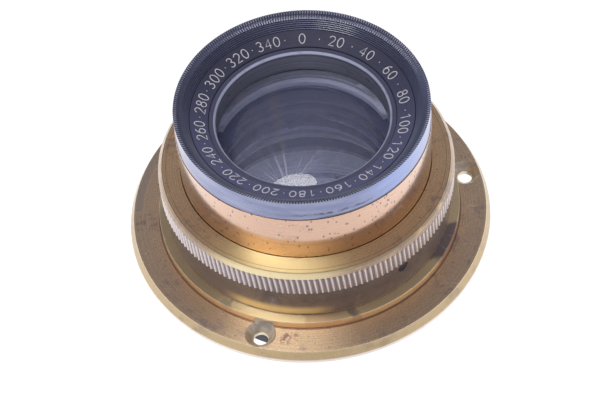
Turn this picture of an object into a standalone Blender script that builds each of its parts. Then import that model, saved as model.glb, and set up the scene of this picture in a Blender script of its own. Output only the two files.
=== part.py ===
"""Brass barrel lens: a symmetrical anastigmat in a mounting flange, standing on its rear rim.

Lengths are in metres, written as a number of millimetres times MM. +Z is the optical axis,
towards the front, and the origin is the centre of the rear rim's lower face.
"""

import math

import bmesh
import bpy
from mathutils import Matrix

MM = 0.001

# Driving dimensions (mm).
FLANGE_R = 27.0
FLANGE_BACK_Z = 10.0
FLANGE_THICK = 1.77
COLLAR_R = 22.36
COLLAR_TOP_Z = 13.2
BEVEL_WIDTH = 0.67
THREAD_R = 20.3
THREAD_END_Z = 9.0
REAR_TUBE_R = 19.6
REAR_TUBE_Z = 5.3
REAR_BORE_R = 16.4
BACK_WALL_Z = 13.2
BACK_WALL_BORE_R = 11.8
NECK_R = 21.0
RING_R = 21.55
RING_FACE_R = 20.95
CHAMFER_R = 21.25
RING_BOTTOM_Z = 18.8
RING_TOP_Z = 23.1
BARREL_R = 18.2
BARREL_TOP_Z = 31.3
RIM_R = 18.1
RIM_TOP_Z = 34.94
RIM_BORE_R = 16.0
RIM_MOUTH_R = 16.82
REAR_RIM_FLAT_R = 16.6
FIT = 0.3  # gap left between pieces that touch
RUN = 0.15  # running clearance of the moving rings

# Mounting screws.
SCREW_CIRCLE_R = 24.1
SCREW_AZIMUTHS = (-107.0, 13.0, 133.0)
SCREW_HOLE_R = 1.1
COUNTERSINK_R = 2.24

# Optics: the two cells are the same, turned end for end about the iris plane.
IRIS_Z = 16.3
FRONT_VERTEX_Z = 30.9
GLASS_R = 12.6
INNER_GLASS_R = 12.2
OUTER_CURVE_R = 30.0
FIRST_CEMENT_R = -80.0
SECOND_CEMENT_R = 28.0
INNER_CURVE_R = 38.0
OUTER_THICK = 4.2
MIDDLE_THICK = 1.3
INNER_THICK = 1.8
CEMENT_GAP = 0.12
CLEAR_R = 12.3
TUBE_R = 12.75
TUBE_WALL_R = 14.8
SEAT_R = 11.7
SEAT_THICK = 0.6
REAR_SEAT_Z = 11.4
BEZEL_SEAT_Z = 27.9
BEZEL_FOOT_Z = 28.4
BEZEL_SEAT_R = 13.4
BEZEL_R = 13.1
CELL_THREAD_R = 17.0
REAR_CELL_THREAD_R = 16.1

# Iris: each leaf turns on a pivot stud in the base plate, and a drive stud in a spiral slot.
LEAVES = 10
OPEN_R = 10.7
LEAF_OUTER_R = 16.2
LEAF_SPAN = 112.0
LEAF_THICK = 0.12
LEAF_PITCH = 0.17
LEAF_Z = 15.4
PIVOT_R = 16.9
DRIVE_ARM = 4.0
STUD_R = 0.25
EAR_R = 0.62
LEAF_SWING = 30.9
RING_SWING = 64.0
PLATE_BOTTOM_Z = 14.6
PLATE_TOP_Z = 15.2
CAM_BOTTOM_Z = 17.2
CAM_TOP_Z = 17.85
SKIRT_R = 17.0
SLOT_HALF_WIDTH = 0.4
SKIRT_TOP_Z = 22.0
COVER_R = 16.0
COVER_BORE_R = 11.6
COVER_FLAT_R = 13.4
COVER_TOP_Z = 20.3
PLATE_R = 20.0

# The drive screw goes from the control ring through a slot in the front barrel to the cam ring.
DRIVE_AZIMUTH = 120.0
DRIVE_Z = 20.8
DRIVE_R = 0.7
DRIVE_LENGTH = 4.9
DRIVE_START_R = 16.55

INDEX_AZIMUTH = -50.0
INDEX_Z = 17.3
INDEX_R = 0.8

OUTER_STEPS = 48
INNER_STEPS = 36

BRASS = (0.62, 0.42, 0.20, 0.28, 1.0)
DARK_BRASS = (0.36, 0.25, 0.15, 0.35, 1.0)
NICKEL = (0.52, 0.53, 0.60, 0.30, 1.0)
BLACK = (0.03, 0.03, 0.04, 0.40, 0.3)
BLUED = (0.06, 0.06, 0.08, 0.45, 0.8)
STEEL = (0.40, 0.40, 0.43, 0.35, 1.0)
GLASS = (0.55, 0.58, 0.62, 0.05, 0.0)


def clear_scene():
    for obj in list(bpy.data.objects):
        bpy.data.objects.remove(obj, do_unlink=True)


def new_collection(name):
    collection = bpy.data.collections.new(name)
    bpy.context.scene.collection.children.link(collection)
    return collection


def material(name, look):
    red, green, blue, roughness, metallic = look
    mat = bpy.data.materials.new(name)
    mat.use_nodes = True
    shader = mat.node_tree.nodes["Principled BSDF"]
    shader.inputs["Base Color"].default_value = (red, green, blue, 1.0)
    shader.inputs["Roughness"].default_value = roughness
    shader.inputs["Metallic"].default_value = metallic
    return mat


def add_object(name, data, collection, look=None):
    obj = bpy.data.objects.new(name, data)
    collection.objects.link(obj)
    if look:
        data.materials.append(material(name, look))
    return obj


def move_to(obj, collection):
    for holder in list(obj.users_collection):
        holder.objects.unlink(obj)
    collection.objects.link(obj)


def on_axis(azimuth, radius, z):
    """The point at this azimuth, radius and height, in metres."""
    angle = math.radians(azimuth)
    return (radius * math.cos(angle) * MM, radius * math.sin(angle) * MM, z * MM)


def turned(name, profile, steps, look=None, collection=None, closed=True):
    """A (radius, z) outline turned about Z. It runs down the outer side, top to bottom."""
    mesh = bpy.data.meshes.new(name)
    count = len(profile)
    mesh.from_pydata(
        [(r * MM, 0.0, z * MM) for r, z in profile],
        [(i, (i + 1) % count) for i in range(count if closed else count - 1)],
        [],
    )
    obj = add_object(name, mesh, collection or parts, look)
    screw = obj.modifiers.new("Screw", "SCREW")
    screw.steps = screw.render_steps = steps
    screw.use_merge_vertices = True
    screw.merge_threshold = 0.000002
    screw.use_smooth_shade = True
    return obj


def cylinder(name, radius, length, matrix, sides=16, top_radius=None, look=None, collection=None):
    """A cylinder or cone along the matrix's Z, from its origin, with its size in the mesh."""
    bpy.ops.mesh.primitive_cone_add(
        vertices=sides,
        radius1=radius * MM,
        radius2=(radius if top_radius is None else top_radius) * MM,
        depth=length * MM,
    )
    obj = bpy.context.object
    obj.name = name
    obj.data.name = name
    obj.data.transform(Matrix.Translation((0, 0, length * MM / 2)))
    obj.matrix_world = matrix
    move_to(obj, collection or cutters)
    if look:
        obj.data.materials.append(material(name, look))
        obj.data.shade_smooth()
        obj.data.set_sharp_from_angle(angle=math.radians(35))
    return obj


def radial_matrix(azimuth, radius, z):
    """A frame at this point whose Z runs outwards from the axis."""
    turn = Matrix.Rotation(math.radians(azimuth), 4, "Z")
    lie_down = Matrix.Rotation(math.pi / 2, 4, "Y")
    return Matrix.Translation(on_axis(azimuth, radius, z)) @ turn @ lie_down


def plate(name, outline, bottom_z, thickness, collection=None):
    """A flat outline in mm, extruded upwards from bottom_z, as a closed mesh."""
    curve = bpy.data.curves.new(name, "CURVE")
    curve.dimensions = "2D"
    curve.fill_mode = "BOTH"
    curve.extrude = thickness * MM / 2
    spline = curve.splines.new("POLY")
    spline.points.add(len(outline) - 1)
    for point, (x, y) in zip(spline.points, outline):
        point.co = (x * MM, y * MM, 0.0, 1.0)
    spline.use_cyclic_u = True
    flat = add_object(name + "_outline", curve, collection or cutters)
    bpy.context.view_layer.update()
    graph = bpy.context.evaluated_depsgraph_get()
    mesh = bpy.data.meshes.new_from_object(flat.evaluated_get(graph))
    bpy.data.objects.remove(flat, do_unlink=True)
    mesh.name = name
    mesh.transform(Matrix.Translation((0, 0, (bottom_z + thickness / 2) * MM)))
    weld(mesh)
    return add_object(name, mesh, collection or cutters)


def weld(mesh):
    work = bmesh.new()
    work.from_mesh(mesh)
    bmesh.ops.remove_doubles(work, verts=work.verts, dist=1e-7)
    bmesh.ops.recalc_face_normals(work, faces=work.faces)
    work.to_mesh(mesh)
    work.free()


def boolean(target, other, operation="DIFFERENCE"):
    modifier = target.modifiers.new(operation.title(), "BOOLEAN")
    modifier.operation = operation
    modifier.object = other
    modifier.solver = "EXACT"
    other.hide_render = True
    other.display_type = "WIRE"


def arc(radius, start, end, count):
    """Points on a circle about the axis, from start to end degrees."""
    angles = [math.radians(start + (end - start) * i / count) for i in range(count + 1)]
    return [(radius * math.cos(a), radius * math.sin(a)) for a in angles]


def turn_about(point, centre, degrees):
    """A flat point turned about another one."""
    angle = math.radians(degrees)
    x, y = point[0] - centre[0], point[1] - centre[1]
    return (
        centre[0] + x * math.cos(angle) - y * math.sin(angle),
        centre[1] + x * math.sin(angle) + y * math.cos(angle),
    )


# Body: flange and barrels.


def make_flange():
    top_z = FLANGE_BACK_Z + FLANGE_THICK
    bevel_r = FLANGE_R - BEVEL_WIDTH
    bore_r = THREAD_R + FIT
    flange = turned(
        "mounting_flange",
        [
            (COLLAR_R, COLLAR_TOP_Z),
            (COLLAR_R, top_z),
            (bevel_r, top_z),
            (FLANGE_R, FLANGE_BACK_Z + 0.4),
            (FLANGE_R, FLANGE_BACK_Z),
            (bore_r, FLANGE_BACK_Z),
            (bore_r, COLLAR_TOP_Z),
        ],
        OUTER_STEPS,
        BRASS,
    )
    cone_depth = COUNTERSINK_R - SCREW_HOLE_R
    head_top_z = COLLAR_TOP_Z - 0.35
    for number, azimuth in enumerate(SCREW_AZIMUTHS, 1):
        cut = turned(
            f"countersink_cut_{number}",
            [
                (0.0, head_top_z),
                (COUNTERSINK_R, head_top_z),
                (COUNTERSINK_R, top_z),
                (SCREW_HOLE_R, top_z - cone_depth),
                (SCREW_HOLE_R, FLANGE_BACK_Z - 1.0),
                (0.0, FLANGE_BACK_Z - 1.0),
            ],
            24,
            collection=cutters,
            closed=False,
        )
        cut.location = on_axis(azimuth, SCREW_CIRCLE_R, 0.0)
        boolean(flange, cut)


def make_main_barrel():
    """The rear barrel, with the flange thread and the cup that holds the iris."""
    cup_r = NECK_R - 0.75
    shoulder_z = COLLAR_TOP_Z + FIT
    barrel = turned(
        "main_barrel",
        [
            (NECK_R, RING_BOTTOM_Z - FIT),
            (NECK_R, shoulder_z),
            (THREAD_R, shoulder_z),
            (THREAD_R, THREAD_END_Z),
            (REAR_TUBE_R, THREAD_END_Z - 0.5),
            (REAR_TUBE_R, REAR_TUBE_Z),
            (REAR_BORE_R, REAR_TUBE_Z),
            (REAR_BORE_R, BACK_WALL_Z),
            (BACK_WALL_BORE_R, BACK_WALL_Z),
            (BACK_WALL_BORE_R, PLATE_BOTTOM_Z - FIT),
            (cup_r, PLATE_BOTTOM_Z - FIT),
            (cup_r, RING_BOTTOM_Z - FIT),
        ],
        OUTER_STEPS,
        DARK_BRASS,
    )
    hole_place = radial_matrix(INDEX_AZIMUTH, NECK_R - 1.5, INDEX_Z)
    boolean(barrel, cylinder("index_hole_cut", INDEX_R + FIT, 3.0, hole_place))
    cylinder(
        "index_stud",
        INDEX_R,
        0.7,
        radial_matrix(INDEX_AZIMUTH, NECK_R - 0.68, INDEX_Z),
        look=BLUED,
        collection=parts,
    )


def make_front_barrel():
    """The visible brass barrel. Its base closes the iris cup, and its slot takes the drive screw."""
    bore_r = BARREL_R - 0.95
    base_top_z = RING_BOTTOM_Z - FIT
    barrel = turned(
        "front_barrel",
        [
            (BARREL_R, BARREL_TOP_Z),
            (BARREL_R, base_top_z),
            (PLATE_R, base_top_z),
            (PLATE_R, CAM_TOP_Z + RUN),
            (bore_r, CAM_TOP_Z + RUN),
            (bore_r, BARREL_TOP_Z),
        ],
        OUTER_STEPS,
        BRASS,
    )
    margin = math.degrees((DRIVE_R + FIT) / bore_r)
    start, end = DRIVE_AZIMUTH - margin, DRIVE_AZIMUTH + RING_SWING + margin
    outline = arc(bore_r - 0.6, start, end, 10) + arc(BARREL_R + 0.6, end, start, 10)
    height = 2 * (DRIVE_R + FIT)
    boolean(barrel, plate("drive_slot_cut", outline, DRIVE_Z - height / 2, height))


# Iris.


def make_control_ring():
    ring = turned(
        "iris_control_ring",
        [
            (RING_FACE_R, RING_TOP_Z),
            (CHAMFER_R, RING_TOP_Z - 0.35),
            (RING_R, RING_TOP_Z - 0.8),
            (RING_R, RING_BOTTOM_Z + 0.15),
            (RING_R - 0.2, RING_BOTTOM_Z),
            (BARREL_R + RUN, RING_BOTTOM_Z),
            (BARREL_R + RUN, RING_TOP_Z),
        ],
        OUTER_STEPS,
        BRASS,
    )
    hole_place = radial_matrix(DRIVE_AZIMUTH, BARREL_R - 0.6, DRIVE_Z)
    boolean(ring, cylinder("drive_hole_cut", DRIVE_R + FIT, 6.0, hole_place))


def make_drive_screw():
    screw = cylinder(
        "iris_drive_screw",
        DRIVE_R,
        DRIVE_LENGTH,
        radial_matrix(DRIVE_AZIMUTH, DRIVE_START_R, DRIVE_Z),
        look=STEEL,
        collection=parts,
    )
    head_end = Matrix.Translation(on_axis(DRIVE_AZIMUTH, DRIVE_START_R + DRIVE_LENGTH, DRIVE_Z))
    bpy.ops.mesh.primitive_cube_add(size=1.0)
    cut = bpy.context.object
    cut.name = "screw_slot_cut"
    cut.data.transform(Matrix.Diagonal((0.6 * MM, 0.3 * MM, 3.0 * MM, 1.0)))
    cut.matrix_world = head_end @ Matrix.Rotation(math.radians(DRIVE_AZIMUTH), 4, "Z")
    move_to(cut, cutters)
    boolean(screw, cut)


def drive_stud_at(swing):
    """Where the first leaf's drive stud is when the leaf has swung in by this many degrees."""
    return turn_about((PIVOT_R, -DRIVE_ARM), (PIVOT_R, 0.0), swing)


def make_cam_ring():
    """A plate with a spiral slot for each leaf, and a skirt that the drive screw holds."""
    cam = turned(
        "iris_cam_ring",
        [
            (SKIRT_R, SKIRT_TOP_Z),
            (SKIRT_R, CAM_TOP_Z),
            (PLATE_R, CAM_TOP_Z),
            (PLATE_R, CAM_BOTTOM_Z),
            (OPEN_R + 0.5, CAM_BOTTOM_Z),
            (OPEN_R + 0.5, CAM_TOP_Z),
            (SKIRT_R - 0.7, CAM_TOP_Z),
            (SKIRT_R - 0.7, SKIRT_TOP_Z),
        ],
        INNER_STEPS,
        BLUED,
    )
    stops = 8
    path = []
    for step in range(stops + 1):
        part_way = step / stops
        point = drive_stud_at(LEAF_SWING * part_way)
        path.append(turn_about(point, (0.0, 0.0), -RING_SWING * part_way))
    outline = slot_outline(path, SLOT_HALF_WIDTH)
    height = CAM_TOP_Z - CAM_BOTTOM_Z + 0.6
    for number in range(LEAVES):
        around = 360.0 / LEAVES * number
        turned_outline = [turn_about(point, (0.0, 0.0), around) for point in outline]
        cut = plate(f"cam_slot_cut_{number + 1:02d}", turned_outline, CAM_BOTTOM_Z - 0.3, height)
        boolean(cam, cut)
    hole_place = radial_matrix(DRIVE_AZIMUTH, SKIRT_R - 2.0, DRIVE_Z)
    boolean(cam, cylinder("cam_screw_hole_cut", DRIVE_R + FIT, 3.0, hole_place))


def make_cover_ring():
    """A dished ring that turns with the cam ring and covers its slots."""
    bottom_z = CAM_TOP_Z + 0.2
    flat_z = bottom_z + 0.4
    turned(
        "iris_cover_ring",
        [
            (COVER_R, COVER_TOP_Z),
            (COVER_R, bottom_z),
            (COVER_BORE_R, bottom_z),
            (COVER_BORE_R, flat_z),
            (COVER_FLAT_R, flat_z),
            (COVER_R - 0.3, COVER_TOP_Z),
        ],
        INNER_STEPS,
        STEEL,
    )


def slot_outline(path, half_width):
    """The outline of a slot of this half width along a path, with pointed round ends."""
    left, right = [], []
    for i, (x, y) in enumerate(path):
        before, after = path[max(i - 1, 0)], path[min(i + 1, len(path) - 1)]
        along = (after[0] - before[0], after[1] - before[1])
        size = math.hypot(*along)
        across = (-along[1] / size * half_width, along[0] / size * half_width)
        left.append((x + across[0], y + across[1]))
        right.append((x - across[0], y - across[1]))
    ends = []
    for tip, inner in ((path[0], path[1]), (path[-1], path[-2])):
        out = (tip[0] - inner[0], tip[1] - inner[1])
        size = math.hypot(*out)
        ends.append((tip[0] + out[0] / size * half_width, tip[1] + out[1] / size * half_width))
    return [ends[0]] + left + [ends[1]] + right[::-1]


def make_base_plate():
    base = turned(
        "iris_base_plate",
        [
            (PLATE_R, PLATE_TOP_Z),
            (PLATE_R, PLATE_BOTTOM_Z),
            (OPEN_R + 0.3, PLATE_BOTTOM_Z),
            (OPEN_R + 0.3, PLATE_TOP_Z),
        ],
        INNER_STEPS,
        BLUED,
    )
    for number in range(LEAVES):
        place = Matrix.Translation(
            on_axis(360.0 / LEAVES * number, PIVOT_R, PLATE_BOTTOM_Z - 0.3)
        )
        boolean(base, cylinder(f"pivot_cut_{number + 1:02d}", STUD_R + 0.12, 1.3, place, 8))


def leaf_outline():
    """A curved leaf that starts at azimuth 0, with an ear round its pivot and its drive stud."""
    pivot, drive = (PIVOT_R, 0.0), (PIVOT_R, -DRIVE_ARM)
    ear = []
    for centre, start, end in ((drive, -170, 0), (pivot, 0, 75)):
        for step in range(5):
            angle = math.radians(start + (end - start) * step / 4)
            ear.append((centre[0] + EAR_R * math.cos(angle), centre[1] + EAR_R * math.sin(angle)))
    tip = math.radians(LEAF_SPAN)
    middle_r = (OPEN_R + LEAF_OUTER_R) / 2
    half = (LEAF_OUTER_R - OPEN_R) / 2
    round_tip = []
    for step in range(1, 5):
        angle = math.radians(180.0 * step / 5)
        r = middle_r + half * math.cos(angle)
        beyond = half * math.sin(angle)
        round_tip.append(
            (r * math.cos(tip) - beyond * math.sin(tip), r * math.sin(tip) + beyond * math.cos(tip))
        )
    outer = arc(LEAF_OUTER_R, 5.5, LEAF_SPAN, 12)
    inner = arc(OPEN_R, LEAF_SPAN, -4.0, 12)
    return ear + outer + round_tip + inner


def make_leaves():
    outline = leaf_outline()
    for number in range(LEAVES):
        azimuth = 360.0 / LEAVES * number
        name = f"iris_leaf_{number + 1:02d}"
        bottom_z = LEAF_Z + LEAF_PITCH * number
        flat = [turn_about(point, (0.0, 0.0), azimuth) for point in outline]
        leaf = plate(name, flat, bottom_z, LEAF_THICK, parts)
        leaf.data.materials.append(material(name, BLUED))
        pivot = Matrix.Translation(on_axis(azimuth, PIVOT_R, PLATE_BOTTOM_Z + 0.1))
        drive_point = turn_about((PIVOT_R, -DRIVE_ARM), (0.0, 0.0), azimuth)
        drive_foot = (drive_point[0] * MM, drive_point[1] * MM, (bottom_z + 0.05) * MM)
        drive = Matrix.Translation(drive_foot)
        pivot_length = bottom_z + 0.06 - PLATE_BOTTOM_Z - 0.1
        drive_length = CAM_TOP_Z - 0.1 - bottom_z - 0.05
        boolean(leaf, cylinder(name + "_pivot_add", STUD_R, pivot_length, pivot, 8), "UNION")
        boolean(leaf, cylinder(name + "_drive_add", STUD_R, drive_length, drive, 8), "UNION")
        move_origin(leaf, on_axis(azimuth, PIVOT_R, bottom_z))


def move_origin(obj, point):
    """Puts the object's origin on its joint's axis, with its shape where it was."""
    obj.data.transform(Matrix.Translation((-point[0], -point[1], -point[2])))
    obj.location = point


# Glass.


def sag(curve_r, radius):
    """How far a surface has fallen below its vertex at this radius. A negative curve rises."""
    depth = abs(curve_r) - math.sqrt(curve_r * curve_r - radius * radius)
    return depth if curve_r > 0 else -depth


def element(name, edge_r, top_z, top_curve, bottom_z, bottom_curve, flip):
    """A glass element between two surfaces. flip turns it end for end about the iris plane."""
    rings = 4
    radii = [edge_r * i / rings for i in range(rings + 1)]
    top = [(r, top_z - sag(top_curve, r)) for r in radii]
    bottom = [(r, bottom_z - sag(bottom_curve, r)) for r in reversed(radii)]
    profile = top + bottom
    if flip:
        profile = [(r, 2 * IRIS_Z - z) for r, z in reversed(profile)]
    turned(name, profile, INNER_STEPS, GLASS, closed=False)


def make_glass(prefix, flip):
    first_z = FRONT_VERTEX_Z - OUTER_THICK
    second_z = first_z - MIDDLE_THICK
    inner_z = second_z - INNER_THICK
    half_gap = CEMENT_GAP / 2
    element(
        prefix + "_outer_element", GLASS_R, FRONT_VERTEX_Z, OUTER_CURVE_R,
        first_z + half_gap, FIRST_CEMENT_R, flip,
    )
    element(
        prefix + "_middle_element", GLASS_R, first_z - half_gap, FIRST_CEMENT_R,
        second_z + half_gap, SECOND_CEMENT_R, flip,
    )
    element(
        prefix + "_inner_element", INNER_GLASS_R, second_z - half_gap, SECOND_CEMENT_R,
        inner_z, INNER_CURVE_R, flip,
    )


# Cells.


def make_front_cell():
    seat_z = 2 * IRIS_Z - REAR_SEAT_Z
    top_z = BARREL_TOP_Z - 0.2
    turned(
        "front_cell_mount",
        [
            (CELL_THREAD_R, top_z),
            (CELL_THREAD_R, 26.5),
            (TUBE_WALL_R, 26.5),
            (TUBE_WALL_R, seat_z - SEAT_THICK),
            (SEAT_R, seat_z - SEAT_THICK),
            (SEAT_R, seat_z),
            (TUBE_R, seat_z),
            (TUBE_R, BEZEL_SEAT_Z),
            (BEZEL_SEAT_R, BEZEL_SEAT_Z),
            (BEZEL_SEAT_R, top_z),
        ],
        INNER_STEPS,
        BLACK,
    )
    turned(
        "front_rim_ring",
        [
            (RIM_R, RIM_TOP_Z),
            (RIM_R, BARREL_TOP_Z + RUN),
            (RIM_BORE_R, BARREL_TOP_Z + RUN),
            (RIM_BORE_R, 33.03),
            (RIM_MOUTH_R, 34.3),
        ],
        OUTER_STEPS,
        NICKEL,
    )
    turned(
        "front_name_ring",
        [
            (RIM_BORE_R - 0.25, 33.0),
            (RIM_BORE_R - 0.25, 31.4),
            (BEZEL_R + 0.25, 31.4),
            (BEZEL_R + 0.25, 32.1),
        ],
        OUTER_STEPS,
        BLACK,
    )
    turned(
        "front_bezel_ring",
        [(BEZEL_R, 32.02), (BEZEL_R, BEZEL_FOOT_Z), (CLEAR_R, BEZEL_FOOT_Z), (CLEAR_R, 31.37)],
        INNER_STEPS,
        BLACK,
    )
    make_glass("front", False)


def make_rear_cell():
    seat_z = 2 * IRIS_Z - BEZEL_SEAT_Z
    foot_z = 2 * IRIS_Z - BEZEL_FOOT_Z
    turned(
        "rear_cell_mount",
        [
            (TUBE_WALL_R, REAR_SEAT_Z + SEAT_THICK),
            (TUBE_WALL_R, 7.5),
            (REAR_CELL_THREAD_R, 7.5),
            (REAR_CELL_THREAD_R, REAR_TUBE_Z - FIT),
            (RIM_R, REAR_TUBE_Z - FIT),
            (RIM_R, 0.3),
            (RIM_R - 0.3, 0.0),
            (REAR_RIM_FLAT_R, 0.0),
            (BEZEL_SEAT_R, 1.5),
            (BEZEL_SEAT_R, seat_z),
            (TUBE_R, seat_z),
            (TUBE_R, REAR_SEAT_Z),
            (SEAT_R, REAR_SEAT_Z),
            (SEAT_R, REAR_SEAT_Z + SEAT_THICK),
        ],
        INNER_STEPS,
        BLACK,
    )
    turned(
        "rear_bezel_ring",
        [(BEZEL_R, foot_z), (BEZEL_R, 1.2), (CLEAR_R, 1.2), (CLEAR_R, foot_z)],
        INNER_STEPS,
        BLACK,
    )
    make_glass("rear", True)


clear_scene()
parts = new_collection("brass_barrel_lens")
cutters = new_collection("cutters")
make_flange()
make_main_barrel()
make_front_barrel()
make_control_ring()
make_drive_screw()
make_cam_ring()
make_cover_ring()
make_base_plate()
make_leaves()
make_front_cell()
make_rear_cell()
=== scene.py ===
"""The looks of a brass barrel lens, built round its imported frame.

Lengths here are in millimetres and become metres in the mesh and curve helpers. Z is the optical
axis, and azimuth is measured in degrees from +X towards +Y, so the front of the lens is at -90."""
import math

import bmesh
import bpy
import numpy as np
from mathutils import Matrix, Vector


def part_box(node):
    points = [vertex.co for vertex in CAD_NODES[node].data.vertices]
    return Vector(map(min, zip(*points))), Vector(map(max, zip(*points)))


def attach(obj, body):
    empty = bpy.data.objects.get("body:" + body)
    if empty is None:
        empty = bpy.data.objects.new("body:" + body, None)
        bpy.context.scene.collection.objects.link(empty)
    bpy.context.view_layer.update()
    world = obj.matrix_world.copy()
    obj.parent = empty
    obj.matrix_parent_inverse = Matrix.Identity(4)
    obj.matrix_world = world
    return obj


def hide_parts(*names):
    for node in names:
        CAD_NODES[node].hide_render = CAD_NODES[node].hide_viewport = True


MM = 0.001
AROUND = 360                 # segments of a plain turned piece
EDGE = 0.08                  # usual rounding of a turned edge
KNURL_TEETH = 167
KNURL_LEAN = 6.0             # degrees that a knurl tooth leans from the axis
RIM_TEETH = 288
THREAD_PITCH = 0.75
FLANGE_THICK = 1.77
COLLAR_R, BEVEL_R, FLANGE_BORE_R = 22.36, 26.33, 20.6
SCREW_AZIMUTHS = (-107.0, 13.0, 133.0)
SCREW_CIRCLE_R, SCREW_HOLE_R, SCREW_HEAD_R = 24.1, 1.1, 2.24
MOUNT_THREAD_R = 20.3        # of the thread that screws into the flange
INDEX_AZIMUTH, INDEX_Z = -50.0, 17.3
DRIVE_AZIMUTH, DRIVE_Z, DRIVE_HEAD_R = 120.0, 20.8, 21.43
DRIVE_SLOT = (116.7, 187.3)  # azimuths between which the drive screw's slot runs
CONE_INNER, CONE_OUTER = (13.35, 32.1), (15.75, 33.0)   # (radius, z) of the name ring's face
REAR_THREAD_R = 16.1
RIM_MOUTH_R, RIM_MOUTH_Z = 16.82, 34.3
CEMENT_GAP = 0.12
IRIS_Z = 16.3                # height that the rear glass mirrors the front glass about
HAZE = 0.075                 # share of a lens face that old dust makes dull
MARKS_AT = (-2.0, -11.0)     # where the streaks on the glass meet
COAT_IOR = 1.6
FLOOR_FRONT, FLOOR_SIDE = 1.06, 1.9
WORLD_STOPS = (
    (0.0, (1.0, 1.0, 1.02)),
    (0.22, (0.86, 0.86, 0.90)),
    (0.42, (0.36, 0.35, 0.38)),
    (0.85, (0.30, 0.29, 0.32)),
    (1.0, (0.34, 0.33, 0.36)),
)

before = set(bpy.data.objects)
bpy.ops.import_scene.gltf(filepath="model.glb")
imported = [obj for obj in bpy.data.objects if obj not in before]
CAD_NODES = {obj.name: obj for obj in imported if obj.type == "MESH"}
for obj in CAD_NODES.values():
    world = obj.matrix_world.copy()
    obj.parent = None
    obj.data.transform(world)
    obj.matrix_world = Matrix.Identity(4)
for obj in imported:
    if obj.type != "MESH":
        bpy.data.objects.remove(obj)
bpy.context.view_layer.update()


# ---------------------------------------- places from the frame

def reach(node):
    """(lowest z, highest z, outer radius) of a round CAD node, in millimetres."""
    low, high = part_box(node)
    return low.z / MM, high.z / MM, max(high.x, high.y) / MM


# ---------------------------------------- camera, stage and light

def make_camera():
    """Looks down on the front of the lens, at about 51 degrees above the table."""
    data = bpy.data.cameras.new("camera")
    data.sensor_width = 36.0
    data.lens = 111.5
    data.clip_start, data.clip_end = 0.01, 10.0
    camera = bpy.data.objects.new("camera", data)
    bpy.context.scene.collection.objects.link(camera)
    right = Vector((0.9986, 0.0, -0.0529))
    up = Vector((0.0331, 0.7801, 0.6247))
    back = Vector((0.0413, -0.6256, 0.7790))
    turn = Matrix((right, up, back)).transposed().to_4x4()
    camera.matrix_world = Matrix.Translation(Vector((10.09, -173.23, 228.86)) * MM) @ turn
    bpy.context.scene.camera = camera


def make_floor():
    """A pale table that is lit evenly from below, brighter at the lens's two sides than in front."""
    mesh = bpy.data.meshes.new("floor")
    work = bmesh.new()
    bmesh.ops.create_circle(work, cap_ends=True, segments=96, radius=4.0)
    work.to_mesh(mesh)
    work.free()
    floor = bpy.data.objects.new("floor", mesh)
    floor.location.z = -0.02 * MM
    bpy.context.scene.collection.objects.link(floor)
    look = Look("pale_table")
    side = look.math("ABSOLUTE", look.x)
    brighter = look.rise(side, 15.0, 90.0)
    glow = look.math("MULTIPLY_ADD", brighter, FLOOR_SIDE - FLOOR_FRONT, FLOOR_FRONT)
    shader = look.node("ShaderNodeEmission", {"Color": (1.0, 1.0, 1.0, 1.0), "Strength": glow})
    look.output(shader.outputs[0])
    mesh.materials.append(look.material)


def lamp(name, azimuth, elevation, distance, size, length, radiance, colour=(1.0, 1.0, 1.0)):
    """An oval soft light that faces the lens. Its power follows from how bright its face is."""
    data = bpy.data.lights.new(name, "AREA")
    data.shape = "ELLIPSE"
    data.size, data.size_y = size, length
    data.color = colour
    data.energy = radiance * math.pi * math.pi * (size / 2) * (length / 2)
    a, e = math.radians(azimuth), math.radians(elevation)
    towards = Vector((math.cos(a) * math.cos(e), math.sin(a) * math.cos(e), math.sin(e)))
    light = bpy.data.objects.new(name, data)
    light.location = Vector((0, 0, 0.02)) + towards * distance
    light.rotation_mode = "QUATERNION"
    light.rotation_quaternion = towards.to_track_quat("Z", "Y")
    bpy.context.scene.collection.objects.link(light)


def make_world():
    """A bright horizon under a dimmer grey room."""
    world = bpy.data.worlds.new("studio")
    bpy.context.scene.world = world
    world.use_nodes = True
    tree = world.node_tree
    place = tree.nodes.new("ShaderNodeTexCoord")
    split = tree.nodes.new("ShaderNodeSeparateXYZ")
    ramp = tree.nodes.new("ShaderNodeValToRGB")
    tree.links.new(place.outputs["Generated"], split.inputs[0])
    tree.links.new(split.outputs["Z"], ramp.inputs[0])
    stops = ramp.color_ramp.elements
    stops[0].color, stops[1].color = (*WORLD_STOPS[0][1], 1.0), (*WORLD_STOPS[-1][1], 1.0)
    for at, shade in WORLD_STOPS[1:-1]:
        stops.new(at).color = (*shade, 1.0)
    tree.links.new(ramp.outputs[0], tree.nodes["Background"].inputs["Color"])


# ---------------------------------------- materials

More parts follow.
